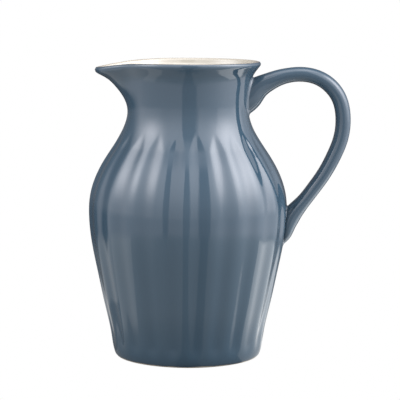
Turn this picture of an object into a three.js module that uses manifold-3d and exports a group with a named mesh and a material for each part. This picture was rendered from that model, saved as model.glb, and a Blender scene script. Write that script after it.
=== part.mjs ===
// Ceramic pitcher: a fluted, waisted stoneware jug with a pulled spout and a loop handle.
// Millimetres, +Z up. The origin is the centre of the flat foot, on the surface it stands on.
// The handle points along +X and the spout along -X.

import * as THREE from 'three';
import Module from 'manifold-3d';

// Driving dimensions
const WALL = 4.6;
const FLOOR_Z = 6;
const FLOOR_ROUNDING = 9;
const FLOOR_CORNER_STEPS = 4;
const FOOT_ROUNDING = 3;
const FOOT_STEPS = 3;
const GLAZE_GAP = 0.3;
const GLAZE_THICKNESS = 0.5;

const FLUTES = 22;
const FLUTE_CREST = THREE.MathUtils.degToRad(-91.4);
const FLUTE_DEPTH = 1.15;
const FLUTE_DEPTH_AT_FOOT = 1.05;
const FLUTE_BOTTOM_Z = 6;
const FLUTE_BOTTOM_FADE = 12;
const FLUTE_FULL_Z = 90;
const FLUTE_TOP_Z = 176;
const FLUTE_TOP_FADE = 9;

const SPOUT_HALF_ANGLE = THREE.MathUtils.degToRad(48);
const SPOUT_DIP_HALF_ANGLE = THREE.MathUtils.degToRad(80);
const SPOUT_SHARPNESS = 4;
const SPOUT_DIP_SHARPNESS = 2;
const SPOUT_DIP_AT_BEAK = 0.7;

const OUTER_SIDES = FLUTES * 4;
const INNER_SIDES = OUTER_SIDES / 2;
const RINGS_PER_SPAN = 1;
const LIP_STEPS = 5;

const SLIP_GAP = 0.3;
const SLIP_THICKNESS = 1.2;
const SLIP_BULGE = 0.5;
const HANDLE_SIDES = 16;
const HANDLE_STEPS = 40;

// Outline of the crests of the flutes, from the top of the foot rounding to the underside of the
// lip: height, radius all round, then height and reach on the middle of the spout.
const OUTLINE = [
  [3, 57.0, 3, 57.0],
  [12, 58.9, 12, 58.9],
  [36.8, 64.2, 36.8, 64.2],
  [67.5, 70.7, 67.5, 70.7],
  [93, 75.6, 93, 75.6],
  [112, 77.2, 112, 77.2],
  [128.8, 75.8, 128.8, 75.8],
  [141.1, 71.9, 141.1, 71.9],
  [153.3, 65.7, 153.3, 65.7],
  [165.6, 57.4, 165.6, 57.4],
  [177.9, 50.5, 177.9, 50.7],
  [190.1, 46.6, 190.1, 47.2],
  [197.5, 46.4, 197.0, 48.4],
  [204.4, 46.9, 203.0, 51.2],
  [211.5, 48.0, 209.3, 55.8],
  [218.9, 50.0, 214.8, 61.3],
  [223.6, 53.2, 218.6, 67.6],
];

// The rounded bead of the lip: height and radius of its centre, and its own radius.
const LIP = { z: 227.9, r: 53.9, bead: 2.05 };
const SPOUT_LIP = { z: 222.9, r: 70.2, bead: 2.4 };
const LIP_START = THREE.MathUtils.degToRad(-50);
const LIP_END = THREE.MathUtils.degToRad(200);

// Handle: centre line in the plane of the spout, half thickness in that plane, half width across.
const HANDLE = [
  { x: 38, z: 199.5, thick: 14, wide: 12 },
  { x: 46.6, z: 203.8, thick: 11.8, wide: 11.5 },
  { x: 53.6, z: 209.3, thick: 9, wide: 10.6 },
  { x: 61.7, z: 213.9, thick: 7.2, wide: 9.5 },
  { x: 69.1, z: 217.1, thick: 6.3, wide: 9 },
  { x: 77, z: 219.2, thick: 5.8, wide: 8.8 },
  { x: 87, z: 220.1, thick: 5.7, wide: 8.7 },
  { x: 100.8, z: 217.2, thick: 5.8, wide: 8.7 },
  { x: 110.2, z: 210.8, thick: 5.95, wide: 8.7 },
  { x: 116.5, z: 202.0, thick: 5.9, wide: 8.7 },
  { x: 120, z: 185.5, thick: 5.85, wide: 8.7 },
  { x: 118.2, z: 170.0, thick: 5.8, wide: 8.6 },
  { x: 113.2, z: 157.0, thick: 5.7, wide: 8.5 },
  { x: 105.9, z: 143.2, thick: 5.5, wide: 8.5 },
  { x: 97.3, z: 130.8, thick: 5.4, wide: 8.7 },
  { x: 89.6, z: 120.8, thick: 5.6, wide: 9.4 },
  { x: 84.8, z: 115.2, thick: 6.4, wide: 10 },
  { x: 78.9, z: 106.0, thick: 7, wide: 10.6 },
  { x: 77.3, z: 99.5, thick: 5.6, wide: 10.4 },
  { x: 75.8, z: 94.0, thick: 4.2, wide: 9 },
  { x: 73.5, z: 89.5, thick: 2.5, wide: 6 },
];

const GLAZE_BLUE = { color: 0x56687a, roughness: 0.18 };
const GLAZE_CREAM = { color: 0xe6e2d4, roughness: 0.2 };
const GLAZE_OVER_SLIP = { color: 0x6f8090, roughness: 0.3 };

const wasm = await Module();
wasm.setup();

// Sections -------------------------------------------------------------------------------

/** A smooth curve through outline points given as [height, radius]. */
function outlineCurve(points) {
  return new THREE.CatmullRomCurve3(points.map(([z, r]) => new THREE.Vector3(r, 0, z)));
}

/** Points along the outline, each with the outward normal of the wall. */
function wallPoints(points) {
  const curve = outlineCurve(points);
  const count = (points.length - 1) * RINGS_PER_SPAN;
  const wall = [];
  for (let i = 0; i <= count; i += 1) {
    const at = curve.getPoint(i / count);
    const along = curve.getTangent(i / count);
    wall.push({ r: at.x, z: at.z, nr: along.z, nz: -along.x });
  }
  return wall;
}

/** Points on an arc of the half section, as {r, z}; angle 0 points away from the axis. */
function arc(centreR, centreZ, radius, from, to, steps) {
  const points = [];
  for (let i = 0; i <= steps; i += 1) {
    const angle = from + ((to - from) * i) / steps;
    points.push({ r: centreR + radius * Math.cos(angle), z: centreZ + radius * Math.sin(angle) });
  }
  return points;
}

/** The wall moved sideways along its normal: outwards for a positive distance. */
function offsetWall(wall, distance) {
  return wall.map((p) => ({ r: p.r + p.nr * distance, z: p.z + p.nz * distance }));
}

/** Radius of a wall at a height, from the two points above and below it. */
function radiusAt(wall, z) {
  const above = wall.findIndex((p) => p.z > z);
  const [low, high] = [wall[above - 1], wall[above]];
  return THREE.MathUtils.mapLinear(z, low.z, high.z, low.r, high.r);
}

/** Inner surface from under the lip to the axis, a given depth behind the outer wall. */
function innerSection(wall, depth) {
  const rounding = FLOOR_ROUNDING - (depth - WALL);
  const cornerZ = FLOOR_Z + FLOOR_ROUNDING;
  const inner = offsetWall(wall, -depth)
    .slice(0, -1)
    .reverse()
    .filter((p) => p.z > cornerZ + FLOOR_ROUNDING / 2);
  const cornerR = radiusAt(wall, cornerZ) - WALL - FLOOR_ROUNDING;
  const corner = arc(cornerR, cornerZ, rounding, 0, -Math.PI / 2, FLOOR_CORNER_STEPS);
  return inner.concat(corner);
}

/** Half section of the foot: flat underside and rounded outer corner. */
function footSection() {
  const [firstZ, firstR] = OUTLINE[0];
  return arc(firstR - FOOT_ROUNDING, firstZ, FOOT_ROUNDING, -Math.PI / 2, 0, FOOT_STEPS).slice(0, -1);
}

const roundWall = wallPoints(OUTLINE.map(([z, r]) => [z, r]));
const spoutWall = wallPoints(OUTLINE.map(([, , z, r]) => [z, r]));

// Rings ----------------------------------------------------------------------------------

/** How much of the spout's reach there is at an angle from the middle of the spout. */
function spoutShare(offset, halfAngle, sharpness) {
  const part = Math.abs(offset) / halfAngle;
  return part < 1 ? Math.cos((part * Math.PI) / 2) ** sharpness : 0;
}

/** Depth of the flutes at a level of the wall: full on the belly, less at the foot, none on the neck. */
function fluteDepth(z) {
  const rise = THREE.MathUtils.smoothstep(z, FLUTE_BOTTOM_Z, FLUTE_BOTTOM_Z + FLUTE_BOTTOM_FADE);
  const fall = 1 - THREE.MathUtils.smoothstep(z, FLUTE_TOP_Z - FLUTE_TOP_FADE, FLUTE_TOP_Z);
  const full = THREE.MathUtils.clamp(z / FLUTE_FULL_Z, 0, 1);
  return THREE.MathUtils.lerp(FLUTE_DEPTH_AT_FOOT, FLUTE_DEPTH, full) * rise * fall;
}

/** A closed ring of points from a flute's crest, blended from the round to the spout section. */
function ring(round, spout, sides, fluted) {
  const points = [];
  for (let i = 0; i < sides; i += 1) {
    const angle = FLUTE_CREST + (2 * Math.PI * i) / sides;
    const offset = angle - Math.PI;
    const reach = spoutShare(offset, SPOUT_HALF_ANGLE, SPOUT_SHARPNESS);
    const slope = spoutShare(offset, SPOUT_DIP_HALF_ANGLE, SPOUT_DIP_SHARPNESS);
    const dip = THREE.MathUtils.lerp(slope, reach, SPOUT_DIP_AT_BEAK);
    const wave = Math.cos(FLUTES * (angle - FLUTE_CREST));
    const hollow = fluted ? (fluteDepth(round.z) * (1 - wave)) / 2 : 0;
    const r = THREE.MathUtils.lerp(round.r, spout.r, reach) - hollow;
    const z = THREE.MathUtils.lerp(round.z, spout.z, dip);
    points.push([r * Math.cos(angle), r * Math.sin(angle), z]);
  }
  return points;
}

/** Rings for a matching pair of half sections. */
function rings(round, spout, sides, fluted = false) {
  return round.map((point, i) => ring(point, spout[i], sides, fluted));
}

/** Closed surface through rings in order; the first and last rings are closed with a disc. */
function skin(ringList) {
  const positions = [];
  const indices = [];
  const starts = [];
  for (const points of ringList) {
    starts.push(positions.length / 3);
    points.forEach((p) => positions.push(...p));
  }
  for (let k = 0; k + 1 < ringList.length; k += 1) {
    const rising = ringList[k + 1][0][2] > ringList[k][0][2];
    const [from, to] = [ringList[k].length, ringList[k + 1].length];
    stitch(indices, { start: starts[k], sides: from }, { start: starts[k + 1], sides: to }, rising);
  }
  capRing(positions, indices, starts[0], ringList[0], true);
  capRing(positions, indices, starts.at(-1), ringList.at(-1), false);
  return { positions, indices };
}

/**
 * Triangles between ring a and the next ring b, which has as many sides or half as many.
 * Diagonals lean the same way on rising and falling rings, so nested surfaces stay parallel.
 */
function stitch(indices, a, b, rising) {
  const step = a.sides / b.sides;
  for (let i = 0; i < b.sides; i += 1) {
    const a0 = a.start + i * step;
    const a1 = a.start + ((i * step + 1) % a.sides);
    const a2 = a.start + ((i * step + 2) % a.sides);
    const b0 = b.start + i;
    const b1 = b.start + ((i + 1) % b.sides);
    if (step === 2) {
      indices.push(a0, a1, b0, a1, b1, b0, a1, a2, b1);
    } else if (rising) {
      indices.push(a0, a1, b0, a1, b1, b0);
    } else {
      indices.push(a0, a1, b1, a0, b1, b0);
    }
  }
}

/** Closes a ring with a fan of triangles round its centre. */
function capRing(positions, indices, start, points, first) {
  const centre = [0, 1, 2].map((k) => points.reduce((sum, p) => sum + p[k], 0) / points.length);
  const middle = positions.length / 3;
  positions.push(...centre);
  for (let i = 0; i < points.length; i += 1) {
    const next = (i + 1) % points.length;
    if (first) {
      indices.push(start + next, start + i, middle);
    } else {
      indices.push(start + i, start + next, middle);
    }
  }
}

// Meshes ---------------------------------------------------------------------------------

function glaze(finish) {
  return new THREE.MeshStandardMaterial({ ...finish, metalness: 0 });
}

function meshFromSkin(name, { positions, indices }, material) {
  const geometry = new THREE.BufferGeometry();
  geometry.setAttribute('position', new THREE.Float32BufferAttribute(positions, 3));
  geometry.setIndex(indices);
  geometry.computeVertexNormals();
  const mesh = new THREE.Mesh(geometry, material);
  mesh.name = name;
  return mesh;
}

function solidFromSkin({ positions, indices }) {
  const mesh = new wasm.Mesh({
    numProp: 3,
    vertProperties: new Float32Array(positions),
    triVerts: new Uint32Array(indices),
  });
  return new wasm.Manifold(mesh);
}

function meshFromSolid(name, solid, material) {
  const { vertProperties, triVerts } = solid.getMesh();
  return meshFromSkin(name, { positions: [...vertProperties], indices: [...triVerts] }, material);
}

/** The stoneware wall: fluted outside, rounded lip, smooth inside and flat foot. */
function makeBody() {
  const foot = footSection();
  const lip = arc(LIP.r, LIP.z, LIP.bead, LIP_START, LIP_END, LIP_STEPS);
  const spoutLip = arc(SPOUT_LIP.r, SPOUT_LIP.z, SPOUT_LIP.bead, LIP_START, LIP_END, LIP_STEPS);
  const outside = rings(foot, foot, OUTER_SIDES)
    .concat(rings(roundWall, spoutWall, OUTER_SIDES, true))
    .concat(rings(lip, spoutLip, OUTER_SIDES));
  const inside = rings(innerSection(roundWall, WALL), innerSection(spoutWall, WALL), INNER_SIDES);
  return meshFromSkin('body', skin(outside.concat(inside)), glaze(GLAZE_BLUE));
}

/** The cream glaze that lines the inside, as a thin open cup. */
function makeInnerGlaze() {
  const back = WALL + GLAZE_GAP;
  const front = back + GLAZE_THICKNESS;
  const outer = rings(innerSection(roundWall, back), innerSection(spoutWall, back), INNER_SIDES);
  const inner = rings(innerSection(roundWall, front), innerSection(spoutWall, front), INNER_SIDES);
  const cup = skin(outer.reverse().concat(inner));
  return meshFromSkin('inner_glaze', cup, glaze(GLAZE_CREAM));
}

/** The outside of the wall as a plug, grown by a distance, used to trim what joins it. */
function wallPlug(distance) {
  const wall = offsetWall(roundWall, distance);
  return solidFromSkin(skin(rings(wall, wall, OUTER_SIDES, true)));
}

/** The handle's whole length as a loft of ovals, each grown by a distance. */
function handleLoft(growth) {
  const line = new THREE.CatmullRomCurve3(HANDLE.map(({ x, z }) => new THREE.Vector3(x, 0, z)));
  const sizes = new THREE.CatmullRomCurve3(
    HANDLE.map(({ thick, wide }) => new THREE.Vector3(thick, wide, 0)),
  );
  const loops = [];
  for (let i = 0; i <= HANDLE_STEPS; i += 1) {
    const at = line.getPoint(i / HANDLE_STEPS);
    const along = line.getTangent(i / HANDLE_STEPS);
    const size = sizes.getPoint(i / HANDLE_STEPS);
    const loop = [];
    for (let k = 0; k < HANDLE_SIDES; k += 1) {
      const angle = (2 * Math.PI * k) / HANDLE_SIDES;
      const across = Math.cos(angle) * (size.x + growth);
      const side = Math.sin(angle) * (size.y + growth);
      loop.push([at.x + along.z * across, side, at.z - along.x * across]);
    }
    loops.push(loop);
  }
  return solidFromSkin(skin(loops));
}

/** The loop handle, trimmed to the layer of slip that holds it. */
function makeHandle() {
  const trimmed = handleLoft(0).subtract(wallPlug(2 * SLIP_GAP + SLIP_THICKNESS));
  return meshFromSolid('handle', trimmed, glaze(GLAZE_BLUE));
}

/** The two pads of slip between wall and handle, a little wider than the handle's ends. */
function makeSlipJoints() {
  const layer = wallPlug(SLIP_GAP + SLIP_THICKNESS).subtract(wallPlug(SLIP_GAP));
  const pads = handleLoft(SLIP_BULGE).intersect(layer).decompose();
  pads.sort((a, b) => b.boundingBox().max[2] - a.boundingBox().max[2]);
  const names = ['upper_slip_joint', 'lower_slip_joint'];
  return names.map((name, i) => meshFromSolid(name, pads[i], glaze(GLAZE_OVER_SLIP)));
}

const pitcher = new THREE.Group();
pitcher.add(makeBody(), makeInnerGlaze(), makeHandle(), ...makeSlipJoints());

export default pitcher;
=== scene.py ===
"""A glazed stoneware pitcher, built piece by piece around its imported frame.

Pieces are drawn in millimetres and turned into metres when their meshes are made. The axes are the
frame's own: +Z up, +X towards the handle, -X towards the spout.
"""

import math

import bmesh
import bpy
import numpy as np
from bpy.props import FloatProperty, FloatVectorProperty, IntProperty, PointerProperty
from bpy.types import Operator, Panel, PropertyGroup
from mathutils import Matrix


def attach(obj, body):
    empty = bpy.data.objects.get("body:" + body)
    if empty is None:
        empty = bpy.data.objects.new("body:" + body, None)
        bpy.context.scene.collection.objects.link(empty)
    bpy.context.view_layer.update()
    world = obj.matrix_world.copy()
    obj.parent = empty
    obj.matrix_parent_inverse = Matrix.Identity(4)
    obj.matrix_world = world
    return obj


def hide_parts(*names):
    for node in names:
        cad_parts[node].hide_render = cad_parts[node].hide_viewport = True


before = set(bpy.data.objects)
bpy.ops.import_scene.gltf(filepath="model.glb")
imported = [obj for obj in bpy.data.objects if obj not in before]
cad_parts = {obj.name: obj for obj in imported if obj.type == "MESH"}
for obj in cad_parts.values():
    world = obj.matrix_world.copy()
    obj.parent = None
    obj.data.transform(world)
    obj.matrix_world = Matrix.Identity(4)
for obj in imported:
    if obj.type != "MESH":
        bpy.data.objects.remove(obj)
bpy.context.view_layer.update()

bl_info = {
    "name": "Stoneware pitcher",
    "version": (1, 0, 0),
    "blender": (4, 5, 0),
    "location": "3D View > Sidebar > Pitcher",
    "description": "Builds a fluted, glazed stoneware pitcher with a pulled spout and a loop handle",
    "category": "Object",
}

MM = 0.001

# ---------------------------------------------------------------------------------------------
# Outlines, in millimetres
# ---------------------------------------------------------------------------------------------

# Height and radius of the outside on the crests of the flutes, then height and reach along the
# middle of the spout, from just above the foot to the underside of the lip.
OUTLINE = (
    (16.0, 59.75, 16.0, 59.75),
    (40.0, 64.9, 40.0, 64.9),
    (67.5, 70.75, 67.5, 70.75),
    (92.0, 75.5, 92.0, 75.5),
    (110.0, 77.2, 110.0, 77.2),
    (126.0, 76.4, 126.0, 76.4),
    (140.0, 72.35, 140.0, 72.35),
    (153.3, 65.6, 153.3, 65.6),
    (165.6, 57.6, 165.6, 57.6),
    (177.9, 50.4, 177.9, 50.6),
    (190.1, 46.7, 190.1, 47.3),
    (204.4, 46.9, 203.0, 51.2),
    (213.5, 48.4, 210.9, 57.3),
    (219.5, 50.3, 215.4, 62.1),
    (223.6, 53.1, 218.7, 67.7),
)
# Height, radius and own radius of the rounding of the foot, and of the bead of the lip.
FOOT = (3.0, 54.1, 3.0)
LIP = (227.9, 53.9, 2.05)
SPOUT_LIP = (222.9, 70.2, 2.4)
FOOT_ANGLES = tuple(math.radians(a) for a in (-90, -64, -38, -12))
LIP_ANGLES = tuple(math.radians(a) for a in range(-50, 200, 30))
LINING_EDGE_ANGLE = math.radians(78)
FLOOR_Z = 6.0
FLOOR_ROUNDING = 9.0
SPOUT_HALF_ANGLE = math.radians(48)
SPOUT_SHARPNESS = 4
SPOUT_DIP_HALF_ANGLE = math.radians(80)
SPOUT_DIP_SHARPNESS = 2
SPOUT_DIP_AT_BEAK = 0.7

# The flutes are pressed by hand: one crest stands a little left of the front, their spacing drifts
# round the body, and they lean a little on their way up. Drift and lean are angles of one flute's
# wave.
FLUTE_CREST = math.radians(-91.4)
FLUTE_DRIFT_SIDE = 0.72
FLUTE_DRIFT_FRONT = 1.04
FLUTE_LEAN = 0.0041
FLUTE_MIDDLE_Z = 90.0
FLUTE_FOOT_Z = 4.0
FLUTE_FOOT_LENGTH = 12.0
FLUTE_SHARE_AT_FOOT = 0.9
FLUTE_END_Z = 176.0
FLUTE_END_LENGTH = 11.0
FLUTE_SOFTNESS = 0.15

# Centre line of the handle in the plane of the spout, half thickness in it, half width across it.
HANDLE = (
    (38.0, 199.5, 14.0, 12.0),
    (46.6, 203.8, 11.8, 11.5),
    (53.6, 209.3, 9.0, 10.6),
    (61.7, 213.9, 7.2, 9.5),
    (69.1, 217.1, 6.3, 9.0),
    (77.0, 219.2, 5.8, 8.8),
    (87.0, 220.1, 5.7, 8.7),
    (100.8, 217.2, 5.8, 8.7),
    (110.2, 210.8, 5.95, 8.7),
    (116.5, 202.0, 5.9, 8.7),
    (120.0, 185.5, 5.85, 8.7),
    (118.2, 170.0, 5.8, 8.6),
    (113.2, 157.0, 5.7, 8.5),
    (105.9, 143.2, 5.5, 8.5),
    (97.3, 130.8, 5.4, 8.7),
    (89.6, 120.8, 5.6, 9.4),
    (84.8, 115.2, 6.4, 10.0),
    (78.9, 106.0, 7.0, 10.6),
    (77.3, 99.5, 5.6, 10.4),
    (75.8, 94.0, 4.2, 9.0),
    (73.5, 89.5, 2.5, 6.0),
    (70.0, 85.0, 1.5, 4.0),
)

# How many rows and sides the meshes have.
BODY_SIDES_PER_FLUTE = 14
LINING_SIDES_PER_FLUTE = 6
HANDLE_SIDES = 48
HANDLE_ROWS = 230
FILLET_ROWS = 9
# How far hidden edges are sunk in the clay, the toe of a fillet stands off it and the stations of
# the handle are apart, in millimetres; and how full a fillet is, from 0, a straight corner, to 1.
HANDLE_SINK = 0.4
LINING_SINK = 0.15
FILLET_SINK = 0.5
FILLET_LIFT = 0.02
HANDLE_SPACING = 0.5
FILLET_HOLLOW = 0.12

# How far the glaze breaks pale from its edge, in millimetres.
BODY_EDGE = 0.9
LINING_EDGE = 0.8

# How fine the clouds in the glazes are, and where the specks and the bare foot begin and end. The
# foot's are heights in metres.
POOLING_SCALE = 22.0
SPECK_SCALE = 900.0
FOOT_EDGE_SCALE = 60.0
RIPPLE_SCALE = 140.0
CREAM_POOLING_SCALE = 25.0
CREAM_GRAIN_SCALE = 700.0
SLIP_SCALE = 80.0
FOOT_EDGE = (0.0018, 0.0026)
SPECK_EDGE = (0.62, 0.8)

# ---------------------------------------------------------------------------------------------
# Studio, as the glaze mirrors it
# ---------------------------------------------------------------------------------------------

# Distances are in metres and angles in degrees. Angles across turn from the camera, positive
# towards the handle and negative towards the spout; a lift is an angle above the level. A pair is
# where a part of the light, or one soft edge of it, starts and ends.
FLOOR_HALF = 60.0
EDGE_BLUR = 1.5
TABLE_FADE = (0.34, 0.50)
TABLE_BACK = (0.14, 0.22)
RIGHT_RISE = (0.02, 0.40)
LEFT_RISE = (0.1, 0.4)
RIGHT_PATCH = (50, 124)
RIGHT_PATCH_FRONT = (-0.053, -0.041)
RIGHT_PATCH_END = (0.34, 0.40)
LEFT_PATCH = (-91, -64)
LEFT_PATCH_START = (0.09, 0.11)
LEFT_SHADE = (-125, -89)
LEFT_SHADE_END = (0.15, 0.17)
CAMERA_STRIP = (-9, 10)
FOOT_SHADE = (0.06, 0.13)

LEFT_SCREEN_START = (-124, -96)
LEFT_SCREEN_END = (-14, -10.5)
LEFT_SCREEN_RISE = (-12, 50)
LEFT_DIMMING = (-60, -10)
RIGHT_SCREEN_START = (12, 22)
RIGHT_SCREEN_END = (108, 128)
RIGHT_PANEL_START = (54, 60)
RIGHT_PANEL_END = (100, 124)
RIGHT_SCREEN_RISE = (-10, 50)
CAMERA_SLIT = (-12, 16)
CAMERA_SLIT_RISE = (2, 12)
ROOM_FRONT = (-126, 132)
ROOM_RIGHT = (100, 146)
GROUND_FRONT = (-114, 138)
HORIZON = (-8, -1)
OVERHEAD = (50, 64)
TOP = (62, 76)
# These are the middle and the width of a bell.
LEFT_DIP = (-45, 14)
LEFT_LAMP = (-77, 21)
LEFT_LAMP_LIFT = (35, 17)
RIGHT_LAMP = (81, 27)
RIGHT_LAMP_LIFT = (37, 24)
GROUND_RIGHT = (85, 38)
OVERHEAD_RIGHT = (80, 60)


# ---------------------------------------------------------------------------------------------
# Lines
# ---------------------------------------------------------------------------------------------


def smooth_through(points, spacing):
    """Points a given spacing apart on a natural cubic spline through the given ones.

    Distance along the spline is measured on the first two columns.
    """
    knots = np.array(points, float)
    chord = np.linalg.norm(np.diff(knots[:, :2], axis=0), axis=1)
    at = np.concatenate([[0.0], np.cumsum(chord)])
    count = len(at)
    system = np.zeros((count, count))
    right = np.zeros_like(knots)
    system[0, 0] = system[-1, -1] = 1.0
    for i in range(1, count - 1):
        before, after = at[i] - at[i - 1], at[i + 1] - at[i]
        system[i, i - 1 : i + 2] = before, 2 * (before + after), after
        right[i] = 6 * ((knots[i + 1] - knots[i]) / after - (knots[i] - knots[i - 1]) / before)
    bend = np.linalg.solve(system, right)
    places = np.linspace(0, at[-1], int(at[-1] / spacing) + 2)
    spans = np.clip(np.searchsorted(at, places, side="right") - 1, 0, count - 2)
    width = (at[spans + 1] - at[spans])[:, None]
    u = places[:, None] - at[spans][:, None]
    v = width - u
    line = (bend[spans] * v**3 + bend[spans + 1] * u**3) / (6 * width)
    line += (knots[spans] / width - bend[spans] * width / 6) * v
    line += (knots[spans + 1] / width - bend[spans + 1] * width / 6) * u
    return line


def arc(centre, angles):
    """Height and radius on an arc of the half section; angle 0 points away from the axis."""
    z, r, radius = centre
    angles = np.array(angles)
    return np.stack([z + radius * np.sin(angles), r + radius * np.cos(angles)], 1)


def doubled(line):
    """A half section that is the same all round and through the spout."""
    return np.hstack([line, line])


def beside(line, distance):
    """Both half sections moved off the clay by a distance, or into it by a negative one."""
    moved = []
    for columns in ((0, 1), (2, 3)):
        along = np.gradient(line[:, columns], axis=0)
        along /= np.linalg.norm(along, axis=1)[:, None]
        normal = np.stack([-along[:, 1], along[:, 0]], 1)
        moved.append(line[:, columns] + np.reshape(distance, (-1, 1)) * normal)
    return np.hstack(moved)


def hump(offset, half_angle, sharpness):
    """Falls from 1 in the middle to 0 at half_angle from it."""
    part = np.clip(np.abs(offset) / half_angle, 0, 1)
    return np.cos(part * math.pi / 2) ** sharpness


def smoothstep(value, low, high):
    part = np.clip((value - low) / (high - low), 0, 1)
    return part * part * (3 - 2 * part)


def unit(vectors):
    return vectors / np.linalg.norm(vectors, axis=-1, keepdims=True)


class Wall:
    """The wall of the pitcher: its half sections, its flutes and its spout."""

    def __init__(self, shape):
        self.shape = shape
        foot = doubled(arc(FOOT, FOOT_ANGLES))
        lip = np.hstack([arc(LIP, LIP_ANGLES), arc(SPOUT_LIP, LIP_ANGLES)])
        outside = np.concatenate([foot, np.array(OUTLINE), lip])
        line = smooth_through(outside, 1.0)
        crest = int(np.argmax(line[:, 0]))
        self.rising = line[:crest]
        inside = self.inside_stations()
        self.line = smooth_through(np.concatenate([outside, inside]), shape.mesh_step / MM)
        self.line[:, [0, 2]] = np.maximum(self.line[:, [0, 2]], 0)
        self.crest = int(np.argmax(self.line[:, 0]))

    def inside_stations(self):
        """The inside of the clay, behind the stations of the outline and round the floor."""
        wall = self.shape.wall / MM
        corner_z = FLOOR_Z + FLOOR_ROUNDING
        behind = beside(self.rising, -wall)
        heights = [z for z, *_ in OUTLINE[-2:0:-1]]
        rows = [int(np.argmin(np.abs(self.rising[:, 0] - z))) for z in heights]
        corner_r = np.interp(corner_z, behind[:, 0], behind[:, 1]) - FLOOR_ROUNDING
        turn = [math.radians(-a) for a in (0, 30, 60, 90)]
        corner = arc((corner_z, corner_r, FLOOR_ROUNDING), turn)
        floor = np.array([[FLOOR_Z, r] for r in (30.0, 15.0, 0.0)])
        return np.concatenate([behind[rows], doubled(corner), doubled(floor)])

    def radius(self, z, angle):
        """Radius of the outside away from the spout."""
        return np.interp(z, self.rising[:, 0], self.rising[:, 1]) - self.scoop(z, angle)

    def scoop(self, z, angle):
        """Depth of the flutes below their crests, with rounded ends on the shoulder."""
        shape = self.shape
        share = np.interp(z, (0, FLUTE_MIDDLE_Z), (FLUTE_SHARE_AT_FOOT, 1.0))
        depth = 2 * shape.flute_depth / MM * share
        wave = shape.flutes * (angle - FLUTE_CREST) - FLUTE_LEAN * (z - FLUTE_MIDDLE_Z)
        wave = wave + FLUTE_DRIFT_SIDE * np.cos(angle) + FLUTE_DRIFT_FRONT * (1 + np.sin(angle))
        hollow = (1 - np.cos(wave)) / 2
        end = np.clip((z - FLUTE_END_Z) / FLUTE_END_LENGTH + 1, 0, 1.3)
        over = hollow - end
        soft = FLUTE_SOFTNESS
        cut = (over + np.sqrt(over**2 + soft**2) + end - np.sqrt(end**2 + soft**2)) / 2
        return depth * cut * smoothstep(z, FLUTE_FOOT_Z, FLUTE_FOOT_Z + FLUTE_FOOT_LENGTH)

    def grid(self, line, sides, fluted=False):
        """Rows of points round the pitcher, one row for each point of a half section."""
        angle = np.linspace(0, 2 * math.pi, sides, endpoint=False)[None, :]
        offset = angle - math.pi
        reach = hump(offset, SPOUT_HALF_ANGLE, SPOUT_SHARPNESS)
        slope = hump(offset, SPOUT_DIP_HALF_ANGLE, SPOUT_DIP_SHARPNESS)
        dip = SPOUT_DIP_AT_BEAK * reach + (1 - SPOUT_DIP_AT_BEAK) * slope
        z, r, spout_z, spout_r = (line[:, k, None] for k in range(4))
        radius = r + (spout_r - r) * reach
        if fluted:
            radius = radius - self.scoop(z, angle)
        height = z + (spout_z - z) * dip
        return np.stack([radius * np.cos(angle), radius * np.sin(angle), height], 2)


# ---------------------------------------------------------------------------------------------
# Meshes
# ---------------------------------------------------------------------------------------------


def mesh_piece(name, points, faces, attributes=None):
    """A smooth-shaded mesh object from points in millimetres; attributes are per point."""
    mesh = bpy.data.meshes.new(name)
    edit = bmesh.new()
    corners = [edit.verts.new(p) for p in (np.asarray(points) * MM).tolist()]
    for face in faces:
        edit.faces.new([corners[i] for i in face]).smooth = True
    bmesh.ops.recalc_face_normals(edit, faces=edit.faces)
    edit.to_mesh(mesh)
    edit.free()
    for key, values in (attributes or {}).items():
        layer = mesh.attributes.new(key, "FLOAT", "POINT")
        layer.data.foreach_set("value", np.asarray(values, np.float32).ravel())
    piece = bpy.data.objects.new(name, mesh)
    bpy.context.scene.collection.objects.link(piece)
    return piece


def grid_faces(rows, sides, closed=False):
    """Four-cornered faces of a grid that closes on itself across, and along too if closed."""
    faces = []
    for j in range(rows if closed else rows - 1):
        a, b = j * sides, (j + 1) % rows * sides
        for i in range(sides):
            k = (i + 1) % sides
            faces.append((a + i, a + k, b + k, b + i))
    return faces


def capped_loft(name, grid, attributes=None, first=None, last=None):
    """A closed solid through rows of points, its ends closed round a middle point."""
    rows, sides = grid.shape[:2]
    faces = grid_faces(rows, sides)
    points = list(grid.reshape(-1, 3))
    for row, middle in ((0, first), (rows - 1, last)):
        points.append(grid[row].mean(0) if middle is None else middle)
        centre = len(points) - 1
        faces += [(row * sides + i, row * sides + (i + 1) % sides, centre) for i in range(sides)]
    padded = {k: np.append(np.ravel(v), [0.0, 0.0]) for k, v in (attributes or {}).items()}
    return mesh_piece(name, points, faces, padded)


def place(piece, node, material):
    """Puts a piece in the frame: it rides on the body, and stands for its CAD node."""
    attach(piece, "root")
    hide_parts(node)
    piece.data.materials.append(material)


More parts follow.
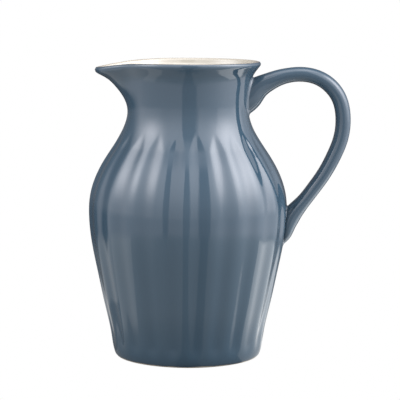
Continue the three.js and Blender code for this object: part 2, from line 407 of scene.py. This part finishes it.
class Handle:
    """The loop handle as lines that run along it, each from the neck to the belly."""

    def __init__(self, shape, wall):
        self.wall = wall
        line = smooth_through(HANDLE, HANDLE_SPACING)
        along = unit(np.gradient(line[:, :2], axis=0))
        across = np.stack([-along[:, 1], along[:, 0]], 1)
        turn = np.linspace(0, 2 * math.pi, HANDLE_SIDES, endpoint=False)
        power = 2 / shape.handle_squareness
        thick = np.sign(np.cos(turn)) * np.abs(np.cos(turn)) ** power
        wide = np.sign(np.sin(turn)) * np.abs(np.sin(turn)) ** power
        out = line[:, 2, None] * thick
        x = line[:, 0, None] + across[:, 0, None] * out
        z = line[:, 1, None] + across[:, 1, None] * out
        y = line[:, 3, None] * wide
        self.lines = np.stack([x, y, z], 2)

    def outside_by(self, points):
        """How far points are outside the wall; negative inside it."""
        angle = np.arctan2(points[..., 1], points[..., 0])
        reach = np.hypot(points[..., 0], points[..., 1])
        return reach - self.wall.radius(points[..., 2], angle)

    def trimmed(self, depth):
        """The lines cut at a depth below the surface of the wall."""
        grid = np.zeros((HANDLE_ROWS, HANDLE_SIDES, 3))
        for k in range(HANDLE_SIDES):
            line = self.lines[:, k]
            gap = self.outside_by(line) + depth
            half = len(gap) // 2
            start = int(np.max(np.nonzero(gap[:half] < 0)))
            stop = half + int(np.min(np.nonzero(gap[half:] < 0)))
            first = start + gap[start] / (gap[start] - gap[start + 1])
            last = stop - 1 + gap[stop - 1] / (gap[stop - 1] - gap[stop])
            places = np.linspace(first, last, HANDLE_ROWS)
            for axis in range(3):
                grid[:, k, axis] = np.interp(places, np.arange(len(line)), line[:, axis])
        return grid

    def seam(self, grid):
        """At the first row: the points, the ways up the handle and over the wall, the normals."""
        ring, near = grid[0], grid[4]
        up_handle = unit(near - ring)
        angle = np.arctan2(ring[:, 1], ring[:, 0])
        step = 0.5
        above, below = (self.wall.radius(ring[:, 2] + side * step, angle) for side in (1, -1))
        slope = (above - below) / (2 * step)
        normal = unit(np.stack([np.cos(angle), np.sin(angle), -slope], 1))
        round_ring = unit(np.roll(ring, -1, axis=0) - np.roll(ring, 1, axis=0))
        away = np.cross(round_ring, normal)
        outward = ring - ring.mean(0)
        away *= np.sign((away * outward).sum(1).mean())
        return ring, up_handle, unit(away), normal


# ---------------------------------------------------------------------------------------------
# Materials
# ---------------------------------------------------------------------------------------------


class Term:
    """A socket that adds Math nodes when it is used in an expression."""

    def __init__(self, nodes, socket):
        self.nodes = nodes
        self.socket = socket

    def _maths(self, operation, first, second=0.0):
        settings = {"operation": operation}
        return self.nodes.node("ShaderNodeMath", settings, {0: first, 1: second})

    def __add__(self, other):
        return self._maths("ADD", self, other)

    __radd__ = __add__

    def __mul__(self, other):
        return self._maths("MULTIPLY", self, other)

    __rmul__ = __mul__

    def __sub__(self, other):
        return self._maths("SUBTRACT", self, other)

    def __rsub__(self, other):
        return self._maths("SUBTRACT", other, self)

    def __pow__(self, other):
        return self._maths("POWER", self, other)

    def bell(self, middle, width):
        """1 in the middle, falling off as a bell curve."""
        off = (self - middle) * (1 / width)
        return self._maths("EXPONENT", off * off * -1)

    def turn_from(self, other):
        """The angle of a direction in degrees, from its parts across and along."""
        return self._maths("ARCTAN2", self, other) * (180 / math.pi)

    def lift(self):
        """The angle in degrees of a direction above the level, from its height."""
        return self._maths("ARCSINE", self) * (180 / math.pi)


class Nodes:
    """A node tree, built from terms."""

    def __init__(self, owner):
        owner.use_nodes = True
        self.tree = owner.node_tree
        self.tree.nodes.clear()

    def node(self, kind, settings=None, inputs=None, output=0):
        """Adds a node: its settings first, then the values or links of its sockets."""
        node = self.tree.nodes.new(kind)
        for key, value in (settings or {}).items():
            if key == "stops":
                for element, (place_at, colour) in zip(node.color_ramp.elements, value):
                    element.position = place_at
                    element.color = colour
            else:
                setattr(node, key, value)
        for key, value in (inputs or {}).items():
            if isinstance(value, Term):
                self.tree.links.new(value.socket, node.inputs[key])
            else:
                node.inputs[key].default_value = value
        return Term(self, node.outputs[output]) if node.outputs else None

    def parts(self, vector):
        """The X, Y and Z of a vector."""
        inputs = {"Vector": vector}
        return [self.node("ShaderNodeSeparateXYZ", None, inputs, axis) for axis in "XYZ"]

    def within(self, value, low, high):
        """0 below low, 1 above high and smooth between them."""
        settings = {"interpolation_type": "SMOOTHSTEP"}
        inputs = {"Value": value, "From Min": low, "From Max": high}
        return self.node("ShaderNodeMapRange", settings, inputs)

    def band(self, value, start, end, soft):
        """1 between start and end, fading to 0 over a soft edge centred on each."""
        rise = self.within(value, start - soft, start + soft)
        return rise * (1 - self.within(value, end - soft, end + soft))

    def seen(self, directly, otherwise):
        """One value where the camera sees this directly, another in its light and reflections."""
        camera = self.node("ShaderNodeLightPath", output="Is Camera Ray")
        return camera * directly + (1 - camera) * otherwise

    def mix(self, share, first, second):
        """A blend of two colours."""
        inputs = {"Factor": share, 6: colour(first), 7: colour(second)}
        return self.node("ShaderNodeMix", {"data_type": "RGBA"}, inputs, 2)


class Finish(Nodes):
    """A node material."""

    def __init__(self, name):
        self.material = bpy.data.materials.new(name)
        super().__init__(self.material)

    def attribute(self, name):
        return self.node("ShaderNodeAttribute", {"attribute_name": name}, output="Fac")

    def place(self):
        return self.node("ShaderNodeTexCoord", output="Object")

    def noise(self, scale, detail=3.0, roughness=0.5):
        inputs = {"Vector": self.place(), "Scale": scale, "Detail": detail, "Roughness": roughness}
        return self.node("ShaderNodeTexNoise", None, inputs, "Fac")

    def surface(self, settings, bump=None):
        shader = self.node("ShaderNodeBsdfPrincipled", None, settings)
        if bump is not None:
            self.tree.links.new(bump.socket, shader.socket.node.inputs["Normal"])
        self.node("ShaderNodeOutputMaterial", None, {"Surface": shader})
        return self.material


def colour(value):
    return value if isinstance(value, Term) else (*value[:3], 1.0)


def blue_glaze(name, glaze):
    """Slate-blue glaze: deeper where it pools, pale where it runs thin, bare at the foot."""
    finish = Finish(name)
    height = finish.parts(finish.place())[2]
    broad = finish.noise(POOLING_SCALE, 2.0)
    fine = finish.noise(SPECK_SCALE, 4.0, 0.6)
    pooled = finish.attribute("hollow") * 0.55 + broad * 0.35
    body = finish.mix(pooled, glaze.blue, glaze.pooled)
    body = finish.mix(finish.within(fine, *SPECK_EDGE) * 0.35, body, glaze.speck)
    thin = finish.attribute("thin") * (0.55 + broad * 0.6)
    body = finish.mix(thin, body, glaze.thin)
    bare = 1 - finish.within(height + finish.noise(FOOT_EDGE_SCALE) * 0.002, *FOOT_EDGE)
    body = finish.mix(bare, body, glaze.clay)
    roughness = glaze.roughness + broad * 0.03 + bare * 0.55
    ripple = {"Strength": 0.12, "Distance": 0.0004, "Height": finish.noise(RIPPLE_SCALE, 2.0)}
    grain = finish.node("ShaderNodeBump", None, ripple)
    settings = {"Base Color": body, "Roughness": roughness, "IOR": glaze.ior}
    return finish.surface(settings, grain)


def cream_glaze(name, glaze):
    """Cream liner glaze, a little darker in broad clouds where it pools."""
    finish = Finish(name)
    broad = finish.noise(CREAM_POOLING_SCALE, 2.0)
    fine = finish.noise(CREAM_GRAIN_SCALE, 3.0)
    body = finish.mix(broad * 0.6, glaze.cream, glaze.cream_pooled)
    body = finish.mix(finish.attribute("thin") * 0.7, body, glaze.thin)
    settings = {"Base Color": body, "Roughness": glaze.roughness + fine * 0.05, "IOR": glaze.ior}
    return finish.surface(settings)


def slip_glaze_and_highlight(name, glaze):
    """The blue glaze over the slip, pale in clouds and in a painted highlight along each fillet."""
    finish = Finish(name)
    broad = finish.noise(SLIP_SCALE, 2.0)
    body = finish.mix(broad * 0.5 + finish.attribute("thin") * 0.5, glaze.blue, glaze.seam)
    settings = {"Base Color": body, "Roughness": glaze.roughness + broad * 0.05, "IOR": glaze.ior}
    return finish.surface(settings)


# ---------------------------------------------------------------------------------------------
# Settings
# ---------------------------------------------------------------------------------------------


class PitcherShape(PropertyGroup):
    """Sizes of the pitcher."""

    wall: FloatProperty(
        name="Wall", description="Thickness of the clay", default=4.6 * MM, unit="LENGTH"
    )
    lining: FloatProperty(
        name="Lining", description="Thickness of the liner glaze", default=0.4 * MM, unit="LENGTH"
    )
    flutes: IntProperty(name="Flutes", description="Flutes round the body", default=22, min=3)
    flute_depth: FloatProperty(
        name="Flute swing",
        description="Half the depth of a flute on the belly",
        default=0.57 * MM,
        unit="LENGTH",
    )
    handle_squareness: FloatProperty(
        name="Handle squareness",
        description="2 is an oval handle, more is squarer",
        default=2.3,
        min=2.0,
        max=5.0,
    )
    slip_width: FloatProperty(
        name="Slip width",
        description="How far the slip spreads from each seam of the handle",
        default=2.0 * MM,
        unit="LENGTH",
    )
    mesh_step: FloatProperty(
        name="Mesh step",
        description="Spacing of the rows of the mesh",
        default=1.6 * MM,
        unit="LENGTH",
    )


class PitcherGlaze(PropertyGroup):
    """Colours and gloss of the glazes."""

    blue: FloatVectorProperty(
        name="Blue", description="Outer glaze", default=(0.036, 0.067, 0.096), subtype="COLOR"
    )
    pooled: FloatVectorProperty(
        name="Pooled",
        description="Outer glaze where thick",
        default=(0.028, 0.056, 0.083),
        subtype="COLOR",
    )
    thin: FloatVectorProperty(
        name="Thin",
        description="Glaze thinned over an edge",
        default=(0.42, 0.36, 0.29),
        subtype="COLOR",
    )
    # Seam is the glaze over the slip and also a painted highlight along the fillets.
    seam: FloatVectorProperty(
        name="Seam", description="Glaze over the slip", default=(0.10, 0.13, 0.16), subtype="COLOR"
    )
    speck: FloatVectorProperty(
        name="Speck", description="Iron specks", default=(0.03, 0.045, 0.06), subtype="COLOR"
    )
    cream: FloatVectorProperty(
        name="Cream", description="Liner glaze", default=(0.42, 0.40, 0.335), subtype="COLOR"
    )
    cream_pooled: FloatVectorProperty(
        name="Cream pooled",
        description="Liner glaze where thick",
        default=(0.39, 0.36, 0.29),
        subtype="COLOR",
    )
    clay: FloatVectorProperty(
        name="Clay",
        description="Bare fired clay of the foot",
        default=(0.55, 0.48, 0.38),
        subtype="COLOR",
    )
    roughness: FloatProperty(
        name="Roughness", description="Roughness of the glazes", default=0.03, subtype="FACTOR"
    )
    ior: FloatProperty(name="IOR", description="Index of refraction of the glazes", default=1.62)


class PitcherStage(PropertyGroup):
    """Floor, lights and camera."""

    distance: FloatProperty(
        name="Distance", description="From the axis to the camera", default=1.3754, unit="LENGTH"
    )
    eye_height: FloatProperty(
        name="Eye height", description="Camera above the floor", default=0.2933, unit="LENGTH"
    )
    aside: FloatProperty(
        name="Aside", description="Camera to the side of the axis", default=0.00932, unit="LENGTH"
    )
    pitch: FloatProperty(
        name="Pitch",
        description="Camera tilt from straight down",
        default=math.radians(82.889),
        subtype="ANGLE",
    )
    roll: FloatProperty(
        name="Roll", description="Camera roll", default=math.radians(0.294), subtype="ANGLE"
    )
    lens: FloatProperty(name="Lens", description="Focal length in millimetres", default=159.87)
    brightness: FloatProperty(name="Brightness", description="Of the studio light", default=0.78)
    daylight: FloatVectorProperty(
        name="Daylight",
        description="Colour of the studio light",
        default=(1.0, 0.985, 1.03),
        subtype="COLOR",
    )


# ---------------------------------------------------------------------------------------------
# Operators
# ---------------------------------------------------------------------------------------------


class PITCHER_OT_body(Operator):
    """Adds the fluted stoneware body with its foot, lip and spout"""

    bl_idname = "pitcher.body"
    bl_label = "Body"

    def execute(self, context):
        shape = context.scene.pitcher_shape
        wall = Wall(shape)
        sides = shape.flutes * BODY_SIDES_PER_FLUTE
        outer, inner = wall.line[: wall.crest], wall.line[wall.crest : -1]
        grid = np.concatenate([wall.grid(outer, sides, True), wall.grid(inner, sides)])
        angle = np.linspace(0, 2 * math.pi, sides, endpoint=False)[None, :]
        hollow = np.zeros(grid.shape[:2])
        hollow[: wall.crest] = wall.scoop(outer[:, 0, None], angle) / (2 * shape.flute_depth / MM)
        from_edge = np.hypot(*(wall.line[:-1, :2] - wall.line[lining_start(wall), :2]).T)
        thin = np.exp(-((from_edge / BODY_EDGE) ** 2))[:, None] * np.ones((1, sides))
        attributes = {"hollow": hollow, "thin": thin}
        piece = capped_loft("stoneware_body", grid, attributes, first=(0, 0, 0))
        material = blue_glaze("blue_glaze", context.scene.pitcher_glaze)
        place(piece, "body", material)
        return {"FINISHED"}


def lining_start(wall):
    """The row of the half section where the liner glaze begins on top of the lip."""
    angle = np.arctan2(wall.line[:, 0] - LIP[0], wall.line[:, 1] - LIP[1])
    near = np.where(wall.line[:, 0] > LIP[0], np.abs(angle - LINING_EDGE_ANGLE), np.inf)
    return int(np.argmin(near))


class PITCHER_OT_lining(Operator):
    """Adds the cream glaze that lines the inside"""

    bl_idname = "pitcher.lining"
    bl_label = "Lining"

    def execute(self, context):
        shape = context.scene.pitcher_shape
        wall = Wall(shape)
        line = wall.line[lining_start(wall) : -1]
        run = np.concatenate([[0], np.cumsum(np.hypot(*np.diff(line[:, :2], axis=0).T))])
        thickness = shape.lining / MM * smoothstep(run, -0.4, 2.5)
        front, back = beside(line, thickness), beside(line, -LINING_SINK)[::-1]
        sides = shape.flutes * LINING_SIDES_PER_FLUTE
        grid = wall.grid(np.concatenate([back, front]), sides)
        thin = np.exp(-((run / LINING_EDGE) ** 2))
        both = np.concatenate([thin[::-1], thin])[:, None] * np.ones((1, sides))
        piece = capped_loft("liner_glaze", grid, {"thin": both})
        material = cream_glaze("cream_glaze", context.scene.pitcher_glaze)
        place(piece, "inner_glaze", material)
        return {"FINISHED"}


class PITCHER_OT_handle(Operator):
    """Adds the loop handle"""

    bl_idname = "pitcher.handle"
    bl_label = "Handle"

    def execute(self, context):
        shape = context.scene.pitcher_shape
        handle = Handle(shape, Wall(shape))
        grid = handle.trimmed(HANDLE_SINK)
        zero = np.zeros(grid.shape[:2])
        piece = capped_loft("loop_handle", grid, {"hollow": zero, "thin": zero})
        material = blue_glaze("handle_glaze", context.scene.pitcher_glaze)
        place(piece, "handle", material)
        return {"FINISHED"}


class PITCHER_OT_slip_joints(Operator):
    """Adds the fillets of slip where the handle meets the neck and the belly"""

    bl_idname = "pitcher.slip_joints"
    bl_label = "Slip joints"

    def execute(self, context):
        shape = context.scene.pitcher_shape
        wall = Wall(shape)
        handle = Handle(shape, wall)
        grid = handle.trimmed(0.0)
        material = slip_glaze_and_highlight("slip_joint_glaze_and_highlight", context.scene.pitcher_glaze)
        for from_end, node in ((grid, "upper_slip_joint"), (grid[::-1], "lower_slip_joint")):
            name = node.replace("joint", "fillet")
            piece = self.fillet(name, wall, handle.seam(from_end), shape.slip_width / MM)
            place(piece, node, material)
        return {"FINISHED"}

    def fillet(self, name, wall, seam, spread):
        """A closed ring of slip with a hollow face between the handle and the wall."""
        ring, up_handle, away, normal = seam
        toe, top = ring + spread * away, ring + spread * up_handle
        angle = np.arctan2(toe[:, 1], toe[:, 0])
        on_wall = wall.radius(toe[:, 2], angle) + FILLET_LIFT
        toe[:, 0], toe[:, 1] = on_wall * np.cos(angle), on_wall * np.sin(angle)
        root = ring + FILLET_HOLLOW * spread * (away + up_handle)
        section = []
        for t in np.linspace(0, 1, FILLET_ROWS):
            section.append((1 - t) ** 2 * toe + 2 * t * (1 - t) * root + t**2 * top)
        section.append(top - FILLET_SINK * away)
        section.append(ring - FILLET_SINK * (normal + away))
        section.append(toe - FILLET_SINK * normal)
        grid = np.stack(section, 1)
        rows, sides = grid.shape[:2]
        # A painted highlight: the fillet's colour pales along the middle of its hollow face.
        across = np.array([0.2, 0.5, 0.9, 1, 1, 1, 0.9, 0.5, 0.2, 0, 0, 0])
        thin = np.tile(across, rows)
        faces = grid_faces(rows, sides, closed=True)
        return mesh_piece(name, grid.reshape(-1, 3), faces, {"thin": thin})


class PITCHER_OT_stage(Operator):
    """Adds the floor, the lights and the camera"""

    bl_idname = "pitcher.stage"
    bl_label = "Stage"

    def execute(self, context):
        stage = context.scene.pitcher_stage
        self.add_floor(stage)
        self.add_studio(context.scene, stage)
        self.add_camera(context.scene)
        return {"FINISHED"}

    def add_floor(self, stage):
        """A white floor; what the glaze mirrors of it is a table top with dim light behind it."""
        half = FLOOR_HALF / MM
        corners = [(-half, -half, 0), (half, -half, 0), (half, half, 0), (-half, half, 0)]
        floor = mesh_piece("floor", corners, [(0, 1, 2, 3)])
        finish = Finish("floor_white")
        x, y, _ = finish.parts(finish.place())
        out = (x * x + y * y) ** 0.5
        turn = x.turn_from(y * -1)
        table = 1 - finish.within(out, *TABLE_FADE)
        glow = 0.80 + finish.within(x, *RIGHT_RISE) * 0.7 + finish.within(x * -1, *LEFT_RISE) * 0.3
        patch = finish.band(turn, *RIGHT_PATCH, EDGE_BLUR) * finish.within(y, *RIGHT_PATCH_FRONT)
        glow += patch * (1 - finish.within(out, *RIGHT_PATCH_END)) * 1.6
        patch = finish.band(turn, *LEFT_PATCH, EDGE_BLUR) * finish.within(out, *LEFT_PATCH_START)
        glow += patch * 0.45
        shade = finish.band(turn, *LEFT_SHADE, EDGE_BLUR)
        shade *= 1 - finish.within(out, *LEFT_SHADE_END)
        glow *= 1 - shade * 0.5
        glow *= 1 - finish.band(turn, *CAMERA_STRIP, 2) * 0.42
        glow *= 1 - finish.within(y, *TABLE_BACK) * 0.75
        glow *= 0.4 + finish.within(out, *FOOT_SHADE) * 0.6
        strength = finish.seen(1.0, glow * stage.brightness)
        white = finish.node("ShaderNodeEmission", None, {"Strength": strength})
        clear = finish.node("ShaderNodeBsdfTransparent")
        shares = {0: finish.seen(1.0, table), 1: clear, 2: white}
        shader = finish.node("ShaderNodeMixShader", None, shares)
        finish.node("ShaderNodeOutputMaterial", None, {"Surface": shader})
        finish.material.cycles.emission_sampling = "NONE"
        floor.data.materials.append(finish.material)

    def add_studio(self, scene, stage):
        """Light from two tall screens with a gap for the camera, the brighter on the right."""
        world = bpy.data.worlds.new("studio")
        nodes = Nodes(world)
        x, y, z = nodes.parts(nodes.node("ShaderNodeTexCoord", output="Generated"))
        turn, lift = x.turn_from(y * -1), z.lift()
        left = nodes.within(turn, *LEFT_SCREEN_START) * (1 - nodes.within(turn, *LEFT_SCREEN_END))
        left *= 1.25 + nodes.within(lift, *LEFT_SCREEN_RISE) * 1.7
        left *= 1 - nodes.within(turn, *LEFT_DIMMING) * 0.25
        left *= 1 - turn.bell(*LEFT_DIP) * 0.2
        left += turn.bell(*LEFT_LAMP) * lift.bell(*LEFT_LAMP_LIFT) * 4.4
        right = nodes.within(turn, *RIGHT_SCREEN_START)
        right *= 1 - nodes.within(turn, *RIGHT_SCREEN_END)
        right *= 1.15 + nodes.within(lift, *RIGHT_SCREEN_RISE) * 1.5
        panel = nodes.within(turn, *RIGHT_PANEL_START) * (1 - nodes.within(turn, *RIGHT_PANEL_END))
        right += panel * 0.8 + turn.bell(*RIGHT_LAMP) * (0.2 + lift.bell(*RIGHT_LAMP_LIFT) * 6.3)
        slit = nodes.band(turn, *CAMERA_SLIT, 2.5)
        room = 0.22 + nodes.band(turn, *ROOM_FRONT, 12) * 0.3
        room += nodes.band(turn, *ROOM_RIGHT, 14) * 0.65
        room += slit * (0.22 + nodes.within(lift, *CAMERA_SLIT_RISE) * 0.12)
        ground = 0.1 + nodes.band(turn, *GROUND_FRONT, 10) * 1.15 + turn.bell(*GROUND_RIGHT) * 1.1
        ground -= slit * 0.65
        low = 1 - nodes.within(lift, *HORIZON)
        light = (left + right + room) * (1 - low) + ground * low
        above = nodes.within(lift, *OVERHEAD)
        light = light * (1 - above) + above * (1.6 + turn.bell(*OVERHEAD_RIGHT) * 1.8)
        light += nodes.within(lift, *TOP) * 1.6
        strength = nodes.seen(1.0, light * stage.brightness)
        tint = nodes.mix(nodes.seen(0.0, 1.0), (1, 1, 1), stage.daylight)
        back = nodes.node("ShaderNodeBackground", None, {"Color": tint, "Strength": strength})
        nodes.node("ShaderNodeOutputWorld", None, {"Surface": back})
        scene.world = world

    def add_camera(self, scene):
        stage = scene.pitcher_stage
        camera = bpy.data.objects.new("camera", bpy.data.cameras.new("camera"))
        camera.data.lens = stage.lens
        camera.data.sensor_width = 36.0
        camera.location = (stage.aside, -stage.distance, stage.eye_height)
        camera.rotation_mode = "ZXY"
        camera.rotation_euler = (stage.pitch, 0, stage.roll)
        scene.collection.objects.link(camera)
        scene.camera = camera


class PITCHER_PT_panel(Panel):
    """Lists the pitcher's settings and operators"""

    bl_idname = "PITCHER_PT_panel"
    bl_label = "Pitcher"
    bl_space_type = "VIEW_3D"
    bl_region_type = "UI"
    bl_category = "Pitcher"

    def draw(self, context):
        for operator in OPERATORS:
            self.layout.operator(operator.bl_idname)
        for group in GROUPS:
            settings = getattr(context.scene, group)
            box = self.layout.box()
            for key in settings.bl_rna.properties.keys():
                if key not in ("rna_type", "name"):
                    box.prop(settings, key)


GROUPS = {
    "pitcher_shape": PitcherShape,
    "pitcher_glaze": PitcherGlaze,
    "pitcher_stage": PitcherStage,
}
OPERATORS = (
    PITCHER_OT_body,
    PITCHER_OT_lining,
    PITCHER_OT_handle,
    PITCHER_OT_slip_joints,
    PITCHER_OT_stage,
)


def register():
    for group in (*GROUPS.values(), *OPERATORS, PITCHER_PT_panel):
        bpy.utils.register_class(group)
    for key, group in GROUPS.items():
        setattr(bpy.types.Scene, key, PointerProperty(type=group))


def unregister():
    for key in GROUPS:
        delattr(bpy.types.Scene, key)
    for group in (PITCHER_PT_panel, *reversed(OPERATORS), *GROUPS.values()):
        bpy.utils.unregister_class(group)


def main():
    register()
    bpy.context.scene.view_settings.view_transform = "Standard"
    bpy.ops.pitcher.body()
    bpy.ops.pitcher.lining()
    bpy.ops.pitcher.handle()
    bpy.ops.pitcher.slip_joints()
    bpy.ops.pitcher.stage()


if __name__ == "__main__":
    main()
